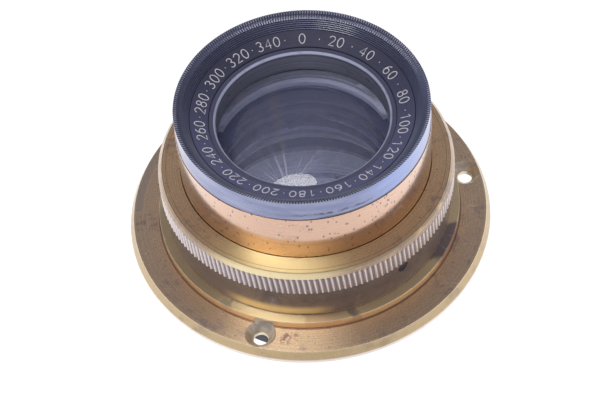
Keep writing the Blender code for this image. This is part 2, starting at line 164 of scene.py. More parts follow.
class Look:
    """One procedural material. Its coordinates are the piece's own, in millimetres."""

    def __init__(self, name):
        self.material = bpy.data.materials.new(name)
        self.material.use_nodes = True
        self.tree = self.material.node_tree
        self.surface = self.tree.nodes["Principled BSDF"]
        place = self.node("ShaderNodeTexCoord").outputs["Object"]
        scaled = self.node("ShaderNodeVectorMath", {0: place}, operation="SCALE")
        scaled.inputs["Scale"].default_value = 1 / MM
        self.place = scaled.outputs[0]
        split = self.node("ShaderNodeSeparateXYZ", {0: self.place})
        self.x, self.y, self.z = split.outputs
        self.radius = self.math("SQRT", self.math("ADD", self.math("MULTIPLY", self.x, self.x),
                                                  self.math("MULTIPLY", self.y, self.y)))
        self.azimuth = self.math("MULTIPLY", self.math("ARCTAN2", self.y, self.x), 180 / math.pi)

    def node(self, kind, inputs=None, **settings):
        made = self.tree.nodes.new(kind)
        for key, value in settings.items():
            setattr(made, key, value)
        for key, value in (inputs or {}).items():
            self.put(made.inputs[key], value)
        return made

    def put(self, socket, value):
        if isinstance(value, bpy.types.NodeSocket):
            self.tree.links.new(value, socket)
        elif isinstance(value, tuple) and len(value) == 3 and socket.type == "RGBA":
            socket.default_value = (*value, 1.0)
        else:
            socket.default_value = value

    def math(self, operation, *values, clamp=False):
        made = self.node("ShaderNodeMath", dict(enumerate(values)), operation=operation)
        made.use_clamp = clamp
        return made.outputs[0]

    def rise(self, value, low, high, start=0.0, end=1.0):
        """Goes smoothly from start at low to end at high."""
        made = self.node("ShaderNodeMapRange", interpolation_type="SMOOTHSTEP")
        for key, number in enumerate((value, low, high, start, end)):
            self.put(made.inputs[key], number)
        return made.outputs[0]

    def band(self, value, low, high, soft):
        """1 between low and high, 0 outside, with soft ends."""
        return self.math("MULTIPLY", self.rise(value, low - soft, low + soft),
                         self.rise(value, high - soft, high + soft, 1.0, 0.0))

    def noise(self, scale, detail=3.0, rough=0.55, where=None):
        made = self.node("ShaderNodeTexNoise", {"Vector": where or self.place, "Scale": scale,
                                                "Detail": detail, "Roughness": rough})
        return made.outputs["Fac"]

    def stripes(self, value, scale, detail=2.0):
        """Noise along one value only: lines that follow what the value is the same along."""
        made = self.node("ShaderNodeTexNoise", {"W": value, "Scale": scale, "Detail": detail},
                         noise_dimensions="1D")
        return made.outputs["Fac"]

    def cells(self, scale, where=None):
        """(distance from the nearest cell's middle, that cell's own random value)."""
        made = self.node("ShaderNodeTexVoronoi", {"Vector": where or self.place, "Scale": scale})
        return made.outputs["Distance"], made.outputs["Color"]

    def scratches(self, scale):
        """Thin lines where large warped cells meet, kept only here and there."""
        bend = self.noise(0.5, 2.0)
        warped = self.node("ShaderNodeVectorMath", {0: self.place, 1: self.vector(bend, bend, 0.0)},
                           operation="MULTIPLY_ADD")
        warped.inputs[2].default_value = (0.0, 0.0, 0.0)
        moved = self.node("ShaderNodeVectorMath", {0: self.place, 1: warped.outputs[0]}, operation="ADD")
        made = self.node("ShaderNodeTexVoronoi", {"Vector": moved.outputs[0], "Scale": scale},
                         feature="DISTANCE_TO_EDGE")
        line = self.rise(made.outputs["Distance"], 0.003, 0.008, 1.0, 0.0)
        return self.product(line, self.rise(self.noise(0.35, 2.0), 0.54, 0.60))

    def vector(self, x, y, z):
        return self.node("ShaderNodeCombineXYZ", {0: x, 1: y, 2: z}).outputs[0]

    def mix(self, amount, first, second, how="MIX"):
        made = self.node("ShaderNodeMix", data_type="RGBA", blend_type=how)
        self.put(made.inputs[0], amount)
        self.put(made.inputs[6], first)
        self.put(made.inputs[7], second)
        return made.outputs[2]

    def dab(self, mask, amount, colour, tint):
        """The colour with a tint over it where the mask is, at that strength."""
        return self.mix(self.math("MULTIPLY", mask, amount), colour, tint)

    def product(self, *values):
        total = values[0]
        for value in values[1:]:
            total = self.math("MULTIPLY", total, value)
        return total

    def bump(self, height, depth, below=None):
        """A bump of that depth in millimetres, on top of another bump if one is given."""
        made = self.node("ShaderNodeBump", {"Height": height})
        made.inputs["Distance"].default_value = depth * MM
        if below is not None:
            self.put(made.inputs["Normal"], below)
        return made.outputs[0]

    def set(self, **values):
        for key, value in values.items():
            self.put(self.surface.inputs[key.replace("_", " ")], value)

    def turned_grain(self, strength):
        """The stretched gloss of a surface whose turning marks run round the axis."""
        tangent = self.node("ShaderNodeTangent", direction_type="RADIAL", axis="Z")
        self.put(self.surface.inputs["Tangent"], tangent.outputs[0])
        self.surface.inputs["Anisotropic"].default_value = strength
        self.surface.inputs["Anisotropic Rotation"].default_value = 0.25

    def output(self, shader):
        out = next(n for n in self.tree.nodes if n.type == "OUTPUT_MATERIAL")
        self.tree.links.new(shader, out.inputs["Surface"])

    def along(self):
        """A place along the profile of a turned piece: the same all the way round."""
        return self.math("ADD", self.radius, self.math("MULTIPLY", self.z, 1.37))

    def round_place(self, stretch):
        """Coordinates that are squeezed round the axis, so that noise makes smears that follow it."""
        turn = self.math("MULTIPLY", self.azimuth, stretch)
        return self.vector(self.radius, turn, self.z)


def brass(name, bright, dull, dull_share, roughness, line_depth=0.0014, grain=0.93, spots=0.6,
          finish=None):
    """Turned brass: bright metal under patches of tarnish, with fine turning lines and specks.
    finish(look, colour) may add what is special to one piece and returns the new colour."""
    look = Look(name)
    clouds = look.noise(0.16, 5.0, 0.6)
    mottle = look.noise(0.9, 6.0, 0.65)
    smears = look.noise(1.3, 5.0, 0.6, where=look.round_place(0.07))
    lines = look.stripes(look.along(), 6.5, 3.0)
    wide_lines = look.stripes(look.along(), 1.5, 3.0)
    blend = look.math("MULTIPLY_ADD", clouds, 0.42, look.math("MULTIPLY", mottle, 0.33))
    blend = look.math("MULTIPLY_ADD", smears, 0.13, blend)
    blend = look.math("MULTIPLY_ADD", wide_lines, 0.12, blend)
    share = look.rise(blend, 0.62 - 0.24 * dull_share, 0.74 - 0.24 * dull_share)
    colour = look.mix(share, bright, dull)
    dirt = 0.20 if grain > 0.5 else 0.04
    grime = look.rise(look.noise(4.5, 4.0, 0.75), 0.36, 0.66, 1.0 - dirt, 1.0 + 0.5 * dirt)
    darker = look.math("MULTIPLY", look.rise(lines, 0.30, 0.66, 0.88, 1.05), grime)
    colour = look.mix(1.0, colour, look.vector(darker, darker, darker), "MULTIPLY")
    near, own = look.cells(1.05)
    chance = look.node("ShaderNodeSeparateColor", {0: own})
    speck = look.product(look.rise(near, 0.05, 0.20, 1.0, 0.0),
                         look.rise(chance.outputs[0], 0.74, 0.80), spots)
    colour = look.mix(speck, colour, (0.10, 0.06, 0.05))
    if finish:
        colour = finish(look, colour)
    scratch = look.scratches(0.16)
    colour = look.dab(scratch, 0.35, colour, (0.95, 0.82, 0.62))
    rough = look.math("MULTIPLY_ADD", share, 0.10, roughness)
    rough = look.math("MULTIPLY_ADD", speck, 0.2, rough)
    look.set(Base_Color=colour, Metallic=1.0, Roughness=rough)
    pits = look.bump(look.math("ADD", look.math("MULTIPLY", speck, -1.0),
                               look.math("MULTIPLY", scratch, -0.5)), 0.02)
    grain_bump = look.bump(mottle, 0.006, pits)
    look.set(Normal=look.bump(lines, line_depth, grain_bump))
    look.surface.inputs["Coat Weight"].default_value = 1.0
    look.surface.inputs["Coat Roughness"].default_value = 0.25
    look.surface.inputs["Coat IOR"].default_value = COAT_IOR
    look.turned_grain(grain)
    return look.material


def paint(name, colour, worn, roughness=0.38, wear=0.5, worn_edge=None, satin_wall=None,
          back_share=1.0):
    """Black lacquer over metal, with fine turning lines and rubbed places. The rounding above the
    height worn_edge is bare, and a painted shade darkens the back, down to back_share of the
    colour. satin_wall = (low z, high z, brightness, glow) is a lighter stretch of the bore. Its
    glow makes up for a wall that is too dark behind the glass: the real piece gives off no light."""
    look = Look(name)
    clouds = look.noise(0.35, 5.0, 0.6)
    scuffs = look.noise(2.2, 4.0, 0.65, where=look.round_place(0.2))
    lines = look.stripes(look.along(), 4.0, 3.0)
    share = look.product(look.rise(scuffs, 0.55, 0.78), look.rise(clouds, 0.4, 0.65), wear)
    tone = look.mix(look.rise(lines, 0.25, 0.75), colour, tuple(1.35 * c for c in colour))
    tone = look.mix(share, tone, worn)
    # Painted shade: the colour darkens towards the back, down to back_share of itself.
    back_shade = look.rise(look.y, -12.0, 12.0, 1.0, back_share)
    tone = look.mix(1.0, tone, look.vector(back_shade, back_shade, back_shade), "MULTIPLY")
    if worn_edge:
        bare = look.product(look.rise(look.z, worn_edge, worn_edge + 0.15),
                            look.rise(look.radius, 12.5, 12.75, 1.0, 0.0),
                            look.rise(clouds, 0.25, 0.5, 0.5, 1.0))
        tone = look.mix(bare, tone, (0.66, 0.70, 0.92))
    if satin_wall:
        low, high, bright, glow = satin_wall
        rings = look.rise(look.stripes(look.along(), 2.4, 2.0), 0.3, 0.7)
        wall = look.product(look.band(look.z, low, high, 0.05),
                            look.band(look.radius, 11.6, 12.9, 0.05))
        light = (0.96 * bright, 0.97 * bright, 1.24 * bright)
        satin = look.mix(rings, tuple(0.64 * c for c in light), light)
        tone = look.mix(wall, tone, satin)
        look.set(Emission_Color=look.mix(wall, (0.0, 0.0, 0.0), satin))
        look.surface.inputs["Emission Strength"].default_value = glow
    rough = look.math("MULTIPLY_ADD", clouds, 0.16, roughness - 0.08)
    look.set(Base_Color=tone, Roughness=rough, Metallic=0.25, Normal=look.bump(lines, 0.004))
    look.surface.inputs["Specular IOR Level"].default_value = 0.5
    return look.material


def steel(name, colour, roughness=0.35):
    """Blued or bare steel with a fine uneven grain."""
    look = Look(name)
    clouds = look.noise(0.9, 4.0, 0.6)
    grain = look.noise(14.0, 3.0, 0.6)
    tone = look.mix(look.rise(clouds, 0.35, 0.7), colour, tuple(1.5 * c for c in colour))
    rough = look.math("MULTIPLY_ADD", grain, 0.2, roughness - 0.1)
    look.set(Base_Color=tone, Metallic=0.9, Roughness=rough, Normal=look.bump(grain, 0.003))
    return look.material


def stain(look, colour, low, high, soft, tint, amount, where):
    """A stretch of another colour between two azimuths, where another mask allows it."""
    mask = look.math("MULTIPLY", look.band(look.azimuth, low, high, soft), amount)
    return look.mix(look.math("MULTIPLY", mask, where), colour, tint)


def flange_finish(look, colour):
    """Painted light that makes the collar bright gold, patches of other colours at fixed azimuths on
    it, then the collar's side and foot, the bevel, a painted reflection along the flange's lower
    edge, a bluish arc and a pitted spot."""
    collar = look.math("MULTIPLY", look.rise(look.z, 11.9, 12.1), look.rise(look.radius, 20.9, 21.1))
    ragged = look.math("MULTIPLY_ADD", look.noise(0.5, 3.0), 14.0, -7.0)
    even_azimuth = look.azimuth
    look.azimuth = look.math("ADD", look.azimuth, ragged)
    # Painted light: the whole collar is made bright gold, to lift it out of the shade under the ring.
    colour = look.dab(collar, 0.8, colour, (1.0, 0.83, 0.50))
    # Patches of other colours at fixed azimuths on the collar.
    colour = stain(look, colour, -178, -124, 6, (0.50, 0.39, 0.23), 0.45, collar)
    colour = stain(look, colour, -124, -120, 1.5, (0.22, 0.22, 0.24), 0.4, collar)
    colour = stain(look, colour, -93, -78, 3, (0.62, 0.34, 0.20), 0.4, collar)
    colour = stain(look, colour, -76, -71, 1.5, (0.17, 0.15, 0.20), 0.6, collar)
    colour = stain(look, colour, -33, -15, 2.0, (0.20, 0.16, 0.22), 0.85, collar)
    side = look.product(look.band(look.z, 11.85, 13.0, 0.1), look.rise(look.radius, 22.25, 22.32))
    colour = look.dab(side, 0.6, colour, (0.95, 0.48, 0.18))
    grime = look.product(look.band(look.z, 11.6, 11.95, 0.06), look.band(look.radius, 22.2, 22.6, 0.06))
    colour = look.dab(grime, 0.7, colour, (0.20, 0.09, 0.05))
    bevel = look.rise(look.radius, 26.33, 26.42)
    colour = look.dab(bevel, 0.82, colour, (0.50, 0.355, 0.155))
    # Painted reflection: the flange's lower edge is near white, as the lit table shows in it.
    foot = look.product(look.rise(look.radius, 26.86, 26.95), look.rise(look.z, 10.42, 10.6, 1.0, 0.0))
    colour = look.dab(foot, 0.85, colour, (1.0, 0.90, 0.85))
    bluish = look.product(look.band(look.azimuth, 150.0, 240.0, 20.0),
                          look.band(look.radius, 25.2, 26.2, 0.3))
    colour = look.dab(bluish, 0.4, colour, (0.38, 0.38, 0.42))
    pit = look.product(look.band(look.azimuth, -99.5, -95.5, 1.2), look.band(look.radius, 23.2, 25.0, 0.4),
                       look.rise(look.noise(1.6, 4.0, 0.6), 0.44, 0.52))
    colour = look.dab(pit, 0.75, colour, (0.22, 0.10, 0.14))
    look.azimuth = even_azimuth
    return colour


def ring_finish(look, colour):
    """A painted gold highlight fixed at the front of the top face, a dark groove near the edge
    and a dark seam on it, and an edge that is darker in patches away from the front and carries
    a painted gold highlight at the front.
    """
    # Painted highlight: the top face is gold across its front, whatever the light.
    gold = look.product(look.band(look.azimuth, -128.0, -74.0, 14.0), look.rise(look.z, 22.4, 23.0), 0.7)
    colour = look.mix(gold, colour, (0.98, 0.80, 0.40))
    groove = look.product(look.band(look.radius, 20.28, 20.38, 0.05), look.rise(look.z, 23.0, 23.05))
    colour = look.dab(groove, 0.55, colour, (0.22, 0.13, 0.08))
    edge = look.product(look.rise(look.radius, 20.95, 21.1), look.rise(look.z, 22.2, 22.3))
    rubbed = look.rise(look.noise(0.7, 4.0, 0.6, where=look.round_place(0.12)), 0.5, 0.7, 0.75, 0.1)
    seam = look.product(look.band(look.radius, 20.88, 21.04, 0.05), look.rise(look.z, 22.5, 22.7), 0.6)
    colour = look.mix(seam, colour, (0.16, 0.10, 0.07))
    # Away from the front the edge is darker in patches; at the front it carries a painted gold highlight.
    away = look.math("SUBTRACT", 1.0, look.band(look.azimuth, -124.0, -80.0, 10.0))
    colour = look.mix(look.product(edge, rubbed, away), colour, (0.34, 0.24, 0.18))
    return look.mix(look.product(edge, look.math("SUBTRACT", 1.0, away), 0.8), colour, (1.0, 0.86, 0.52))


def body_finish(look, colour):
    """Painted shade that darkens the neck under the ring, the more towards the top, a painted gold
    reflection fixed low at the neck's front, and a blackened bore.
    """
    neck = look.product(look.band(look.z, 13.55, 18.6, 0.1), look.rise(look.radius, 20.9, 20.95))
    low_front_reflection = look.product(look.band(look.azimuth, -121.0, -84.0, 6.0),
                             look.rise(look.z, 14.2, 15.6, 1.0, 0.0))
    # Painted shade: the neck is darkened, the more towards the top under the ring.
    shade = look.mix(look.rise(look.z, 13.8, 17.0), (0.17, 0.115, 0.095), (0.085, 0.056, 0.050))
    colour = look.dab(neck, 0.88, colour, shade)
    # Painted reflection: a gold band low on the neck's front.
    colour = look.mix(look.product(neck, low_front_reflection, 0.8), colour, (0.90, 0.62, 0.24))
    inner = look.math("MAXIMUM", look.rise(look.radius, 16.45, 16.6, 1.0, 0.0),
                      look.product(look.rise(look.radius, 20.4, 20.6, 1.0, 0.0),
                                   look.rise(look.z, 14.2, 14.28)))
    return look.mix(inner, colour, (0.035, 0.036, 0.055))


def barrel_finish(look, colour):
    """Short upright dark streaks, a painted orange reflection on the lower part that is stronger to
    the right, and a blackened bore.
    """
    upright = look.vector(look.math("MULTIPLY", look.azimuth, 0.32),
                          look.math("MULTIPLY", look.z, 0.55), 0.0)
    near, own = look.cells(1.55, upright)
    chance = look.node("ShaderNodeSeparateColor", {0: own})
    side = look.rise(look.azimuth, -110.0, -40.0, 0.48, 0.20)
    enough = look.math("GREATER_THAN", chance.outputs[1], side)
    streak = look.product(look.rise(near, 0.13, 0.30, 1.0, 0.0), enough, 0.85)
    colour = look.mix(streak, colour, (0.15, 0.10, 0.11))
    # Painted reflection: the lower part is orange, as the ring's gold shows in it.
    low = look.product(look.rise(look.z, 23.5, 27.0, 1.0, 0.0),
                       look.rise(look.azimuth, -80.0, -30.0, 0.2, 0.8))
    colour = look.mix(low, colour, (1.0, 0.66, 0.38))
    return look.mix(look.rise(look.radius, 17.4, 17.6, 1.0, 0.0), colour, (0.05, 0.045, 0.05))


def knurl_material(crest_r, valley_r):
    """Silvered crests and dirt in the valleys of the knurl."""
    look = Look("knurl_silvered")
    clouds = look.noise(0.8, 4.0, 0.6)
    height = look.rise(look.radius, valley_r, crest_r)
    height = look.math("ADD", height, look.math("MULTIPLY_ADD", clouds, 0.5, -0.25), clamp=True)
    colour = look.mix(height, (0.27, 0.225, 0.235), (0.66, 0.59, 0.60))
    look.set(Base_Color=colour, Metallic=1.0, Roughness=look.rise(height, 0.0, 1.0, 0.5, 0.24))
    look.set(Normal=look.bump(look.noise(9.0, 3.0), 0.006))
    return look.material


def rim_material():
    """Satin nickel, bluish, with a painted bluish reflection on its right, painted glints on the
    milled crests, and dark paint left low on its front.
    """
    look = Look("nickel_satin")
    smears = look.noise(0.9, 4.0, 0.6, where=look.round_place(0.05))
    lines = look.stripes(look.z, 4.0, 3.0)
    colour = look.mix(look.rise(smears, 0.35, 0.7), (0.20, 0.225, 0.39), (0.29, 0.31, 0.48))
    flakes = look.noise(2.4, 4.0, 0.7, where=look.round_place(0.10))
    remnant = look.product(look.band(look.azimuth, -92.0, -58.0, 7.0), look.band(look.z, 32.05, 32.5, 0.12),
                           look.rise(flakes, 0.42, 0.56))
    line = look.product(look.band(look.azimuth, -82.0, -12.0, 6.0), look.band(look.z, 31.45, 31.62, 0.05))
    # Painted reflection: more blue on the right.
    right = look.band(look.azimuth, -58.0, 20.0, 12.0)
    colour = look.dab(right, 0.6, colour, (0.24, 0.33, 0.66))
    top = look.rise(look.radius, 18.0, 18.08, 1.0, 0.0)
    # Painted glints: the crests of the milled teeth are near white.
    below_crest = look.math("SUBTRACT", look.z,
                            look.math("MULTIPLY_ADD", look.radius, 0.5, RIM_MOUTH_Z - 0.5 * RIM_MOUTH_R))
    crest = look.product(look.rise(below_crest, -0.085, -0.02), look.rise(look.radius, 17.5, 17.75),
                         look.rise(smears, 0.35, 0.6, 0.2, 0.8))
    colour = look.dab(top, 0.85, colour, (0.075, 0.082, 0.14))
    colour = look.dab(crest, 0.9, colour, (0.80, 0.83, 0.98))
    left_paint = look.math("MAXIMUM", look.math("MULTIPLY", remnant, 0.85),
                           look.math("MULTIPLY", line, 0.8))
    colour = look.mix(left_paint, colour, (0.035, 0.04, 0.06))
    rough = look.math("MULTIPLY_ADD", remnant, 0.2, look.rise(lines, 0.3, 0.7, 0.26, 0.36))
    rough = look.math("MULTIPLY_ADD", top, 0.18, rough)
    look.set(Base_Color=colour, Metallic=1.0, Roughness=rough, Normal=look.bump(lines, 0.003))
    look.surface.inputs["Coat Weight"].default_value = 0.6
    look.surface.inputs["Coat Roughness"].default_value = 0.12
    look.surface.inputs["Coat IOR"].default_value = COAT_IOR
    return look.material


def glass_materials():
    """(polished face, cemented face, ground edge) of a lens element."""
    polished = Look("glass_polished")
    polished.set(Base_Color=(0.93, 0.95, 0.97), Roughness=0.0, IOR=1.55)
    polished.surface.inputs["Transmission Weight"].default_value = 1.0
    dust = polished.noise(1.4, 6.0, 0.7)
    near, own = polished.cells(0.8)
    chance = polished.node("ShaderNodeSeparateColor", {0: own})
    grit = polished.product(polished.rise(near, 0.03, 0.09, 1.0, 0.0),
                            polished.rise(chance.outputs[0], 0.80, 0.82))
    away_x = polished.math("SUBTRACT", polished.x, MARKS_AT[0])
    away_y = polished.math("SUBTRACT", polished.y, MARKS_AT[1])
    turned = polished.math("ARCTAN2", away_y, away_x)
    away = polished.math("SQRT", polished.math("MULTIPLY_ADD", away_x, away_x,
                                               polished.math("MULTIPLY", away_y, away_y)))
    rays = polished.rise(polished.stripes(turned, 8.0, 4.0), 0.46, 0.74)
    marks = polished.product(rays, polished.rise(away, 0.6, 8.5, 1.0, 0.0), 0.65)
    cover = polished.math("ADD", polished.rise(dust, 0.35, 0.75, HAZE * 0.7, HAZE * 1.5),
                          polished.math("MULTIPLY", grit, 0.30))
    cover = polished.math("ADD", cover, marks)
    haze = polished.node("ShaderNodeBsdfDiffuse",
                         {"Color": polished.mix(rays, (0.40, 0.46, 0.98), (0.66, 0.62, 0.92))})
    veiled = polished.node("ShaderNodeMixShader", {0: cover})
    polished.put(veiled.inputs[1], polished.surface.outputs[0])
    polished.put(veiled.inputs[2], haze.outputs[0])
    swirl = polished.noise(2.6, 5.0, 0.7, where=polished.round_place(0.35))
    sheen = polished.node("ShaderNodeBsdfAnisotropic", {"Color": (0.80, 0.84, 1.0), "Roughness": 0.38})
    rubbed = polished.node("ShaderNodeMixShader", {0: polished.rise(swirl, 0.40, 0.72, 0.0, 0.10)})
    polished.put(rubbed.inputs[1], veiled.outputs[0])
    polished.put(rubbed.inputs[2], sheen.outputs[0])
    path = polished.node("ShaderNodeLightPath")
    clear = polished.node("ShaderNodeBsdfTransparent")
    both = polished.node("ShaderNodeMixShader", {0: path.outputs["Is Shadow Ray"]})
    polished.put(both.inputs[1], rubbed.outputs[0])
    polished.put(both.inputs[2], clear.outputs[0])
    polished.output(both.outputs[0])

    cement = Look("glass_cemented")
    through = cement.node("ShaderNodeBsdfTransparent", {"Color": (0.97, 0.975, 0.98)})
    cement.output(through.outputs[0])

    ground = Look("glass_ground_edge")
    grain = ground.noise(3.0, 4.0, 0.6)
    rings = ground.stripes(ground.z, 2.2, 2.0)
    tone = ground.mix(ground.rise(rings, 0.3, 0.7), (0.50, 0.49, 0.56), (0.70, 0.69, 0.76))
    ground.set(Base_Color=tone, Roughness=ground.math("MULTIPLY_ADD", grain, 0.2, 0.5),
               Normal=ground.bump(grain, 0.01))
    return polished.material, cement.material, ground.material


# ---------------------------------------- turned meshes

def soften(outline, edge, steps=3):
    """The closed outline with its corners rounded, and a support point beside each rounding."""
    made = []
    for i, corner in enumerate(outline):
        here = Vector(corner)
        before = Vector(outline[i - 1]) - here
        after = Vector(outline[(i + 1) % len(outline)]) - here
        half = before.angle(after) / 2
        cut = min(edge / math.tan(half), 0.3 * before.length, 0.3 * after.length)
        start, end = here + before.normalized() * cut, here + after.normalized() * cut
        made.append(here + before.normalized() * 1.5 * cut)
        for step in range(steps + 1):
            t = step / steps
            made.append((1 - t) ** 2 * start + 2 * t * (1 - t) * here + t * t * end)
        made.append(here + after.normalized() * 1.5 * cut)
    return made


def with_points(profile, step, low, high):
    """The closed profile with points added every step where it runs between two heights."""
    made = []
    for i, here in enumerate(profile):
        after = profile[(i + 1) % len(profile)]
        made.append(here)
        middle = (here + after) / 2
        pieces = math.ceil((after - here).length / step) if low < middle.y < high else 1
        made += [here.lerp(after, k / pieces) for k in range(1, pieces)]
    return made


def mesh_piece(name, points, faces, *materials):
    """A smooth-shaded object from points in millimetres."""
    mesh = bpy.data.meshes.new(name)
    mesh.from_pydata([[c * MM for c in p] for p in points], [], faces)
    work = bmesh.new()
    work.from_mesh(mesh)
    bmesh.ops.remove_doubles(work, verts=work.verts, dist=1e-8)
    bmesh.ops.recalc_face_normals(work, faces=work.faces)
    work.to_mesh(mesh)
    work.free()
    mesh.shade_smooth()
    mesh.set_sharp_from_angle(angle=math.radians(42))
    piece = bpy.data.objects.new(name, mesh)
    bpy.context.scene.collection.objects.link(piece)
    for made in materials:
        mesh.materials.append(made)
    return piece


def turn(name, outline, material, around=AROUND, edge=EDGE, shape=None, fine=None, closed=True):
    """A (radius, z) outline turned about Z. shape(radius, z, azimuth) may change the points, and
    fine = (step, low z, high z) adds points for it to move."""
    profile = soften(outline, edge) if closed and edge else [Vector(p) for p in outline]
    if fine:
        profile = with_points(profile, *fine)
    flat = np.array(profile)
    angles = np.linspace(0.0, 2 * math.pi, around, endpoint=False)
    radius, azimuth = np.broadcast_arrays(flat[None, :, 0], angles[:, None])
    height = np.broadcast_to(flat[None, :, 1], radius.shape)
    if shape:
        radius, height, azimuth = shape(radius, height, azimuth)
    points = np.stack([radius * np.cos(azimuth), radius * np.sin(azimuth), height], -1)
    count = len(flat)
    runs = count if closed else count - 1
    i, j = np.meshgrid(np.arange(around), np.arange(runs), indexing="ij")
    k, m = (i + 1) % around, (j + 1) % count
    faces = np.stack([i * count + j, i * count + m, k * count + m, k * count + j], -1)
    return mesh_piece(name, points.reshape(-1, 3).tolist(), faces.reshape(-1, 4).tolist(), material)


def thread(low, high, depth, surface_r):
    """A shape for turn: a V thread cut into the surface at surface_r between two heights."""
    def cut(radius, z, azimuth):
        phase = (z / THREAD_PITCH - azimuth / (2 * math.pi)) % 1.0
        groove = 1.0 - np.abs(2 * phase - 1)
        ends = np.clip((z - low) / 0.3, 0, 1) * np.clip((high - z) / 0.3, 0, 1)
        on_it = np.abs(radius - surface_r) < 0.05
        return radius - np.where(on_it, depth * groove * ends, 0.0), z, azimuth
    return cut


def cut_away(piece, *tools):
    """Cuts the tools out of the piece, for good, and removes them."""
    for tool in tools:
        modifier = piece.modifiers.new("cut", "BOOLEAN")
        modifier.object = tool
        modifier.solver = "EXACT"
        modifier.material_mode = "TRANSFER"
    graph = bpy.context.evaluated_depsgraph_get()
    mesh = bpy.data.meshes.new_from_object(piece.evaluated_get(graph))
    piece.modifiers.clear()
    piece.data = mesh
    for tool in tools:
        bpy.data.objects.remove(tool)
    mesh.shade_smooth()
    mesh.set_sharp_from_angle(angle=math.radians(30))


def stand_for(piece, body, slot, *nodes):
    """The piece takes the place of CAD nodes, on their body."""
    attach(piece, body)
    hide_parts(*nodes)


def drill(name, radius, top, bottom, around):
    """A plain upright cutter for cut_away, round the origin."""
    return turn(name, [(0.0, top), (radius, top), (radius, bottom), (0.0, bottom)], bare_metal,
                around=around, closed=False)


def facing_out(azimuth, radius, z):
    """A frame at this place whose Z points away from the axis."""
    turned = Matrix.Rotation(math.radians(azimuth), 4, "Z")
    place = turned @ Vector((radius, 0.0, z))
    return Matrix.Translation(place * MM) @ turned @ Matrix.Rotation(math.pi / 2, 4, "Y")


# ---------------------------------------- body pieces

def make_flange():
    back_z, top_z, outer_r = reach("mounting_flange")
    face_z = back_z + FLANGE_THICK
    outline = [(COLLAR_R, top_z), (COLLAR_R, face_z), (BEVEL_R, face_z), (outer_r, back_z + 0.4),
               (outer_r, back_z), (FLANGE_BORE_R, back_z), (FLANGE_BORE_R, top_z)]
    look = brass("flange_brass", (0.84, 0.63, 0.42), (0.56, 0.425, 0.365), 0.50, 0.40,
                 finish=flange_finish)
    flange = turn("flange_turned", outline, look, edge=0.06)
    head_z, head_foot_z = top_z - 0.35, face_z - (SCREW_HEAD_R - SCREW_HOLE_R)
    through_z = back_z - 1.0
    tools = []
    for azimuth in SCREW_AZIMUTHS:
        profile = [(0.0, head_z), (SCREW_HEAD_R, head_z), (SCREW_HEAD_R, face_z),
                   (SCREW_HOLE_R, head_foot_z), (SCREW_HOLE_R, through_z), (0.0, through_z)]
        tool = turn("hole_cut", profile, bare_metal, around=64, closed=False)
        a = math.radians(azimuth)
        tool.location = Vector((math.cos(a), math.sin(a), 0.0)) * SCREW_CIRCLE_R * MM
        tools.append(tool)
    cut_away(flange, *tools)
    stand_for(flange, "flange", "flange_brass", "mounting_flange")


def make_main_barrel():
    low, top, outer_r = reach("main_barrel")
    thread_r = MOUNT_THREAD_R
    outline = [(outer_r, top), (outer_r, 13.3), (thread_r, 13.3), (thread_r, 9.0), (19.6, 8.5), (19.6, low),
               (16.4, low), (16.4, 13.2), (11.8, 13.2), (11.8, 14.3), (20.25, 14.3), (20.25, top)]
    look = brass("body_brass", (0.52, 0.37, 0.27), (0.30, 0.21, 0.19), 0.62, 0.40, finish=body_finish)
    barrel = turn("body_turned", outline, look, shape=thread(9.1, 13.2, 0.32, thread_r),
                  fine=(0.09, 9.0, 13.25))
    hole = drill("index_cut", 0.84, 1.5, -1.5, 48)
    hole.matrix_world = facing_out(INDEX_AZIMUTH, outer_r, INDEX_Z)
    cut_away(barrel, hole)
    stand_for(barrel, "barrel", "body_brass", "main_barrel")

    stud = turn("index_dot", [(0.0, 0.02), (0.5, 0.0), (0.72, -0.07), (0.79, -0.2), (0.79, -0.68),
                              (0.0, -0.68)], steel("index_blued", (0.035, 0.035, 0.05)), around=40,
                closed=False)
    stud.data.transform(facing_out(INDEX_AZIMUTH, outer_r, INDEX_Z))
    stand_for(stud, "barrel", "screw_steel", "index_stud")


def make_front_barrel():
    low, top, _ = reach("front_barrel")
    tube_r, foot_r, bore_r, foot_z = 18.2, 20.0, 17.25, low + 0.5
    outline = [(tube_r, top), (tube_r, foot_z), (foot_r, foot_z), (foot_r, low), (bore_r, low),
               (bore_r, top)]
    look = brass("barrel_brass", (0.68, 0.43, 0.31), (0.56, 0.36, 0.27), 0.40, 0.10, line_depth=0.0012,
                 grain=0.35, spots=0.5, finish=barrel_finish)
    barrel = turn("front_barrel_turned", outline, look, around=480)
    tool_faces, tool_points = [], []
    steps = 24
    start, end = DRIVE_SLOT
    for k in range(steps + 1):
        a = math.radians(start + (end - start) * k / steps)
        for r, z in ((19.0, 21.8), (19.0, 19.8), (16.5, 19.8), (16.5, 21.8)):
            tool_points.append((r * math.cos(a), r * math.sin(a), z))
        if k:
            base = 4 * (k - 1)
            tool_faces += [(base + j, base + (j + 1) % 4, base + 4 + (j + 1) % 4, base + 4 + j)
                           for j in range(4)]
    tool_faces += [(0, 1, 2, 3), tuple(4 * steps + j for j in (3, 2, 1, 0))]
    slot = mesh_piece("slot_cut", tool_points, tool_faces, bare_metal)
    cut_away(barrel, slot)
    stand_for(barrel, "barrel", "barrel_brass", "front_barrel")


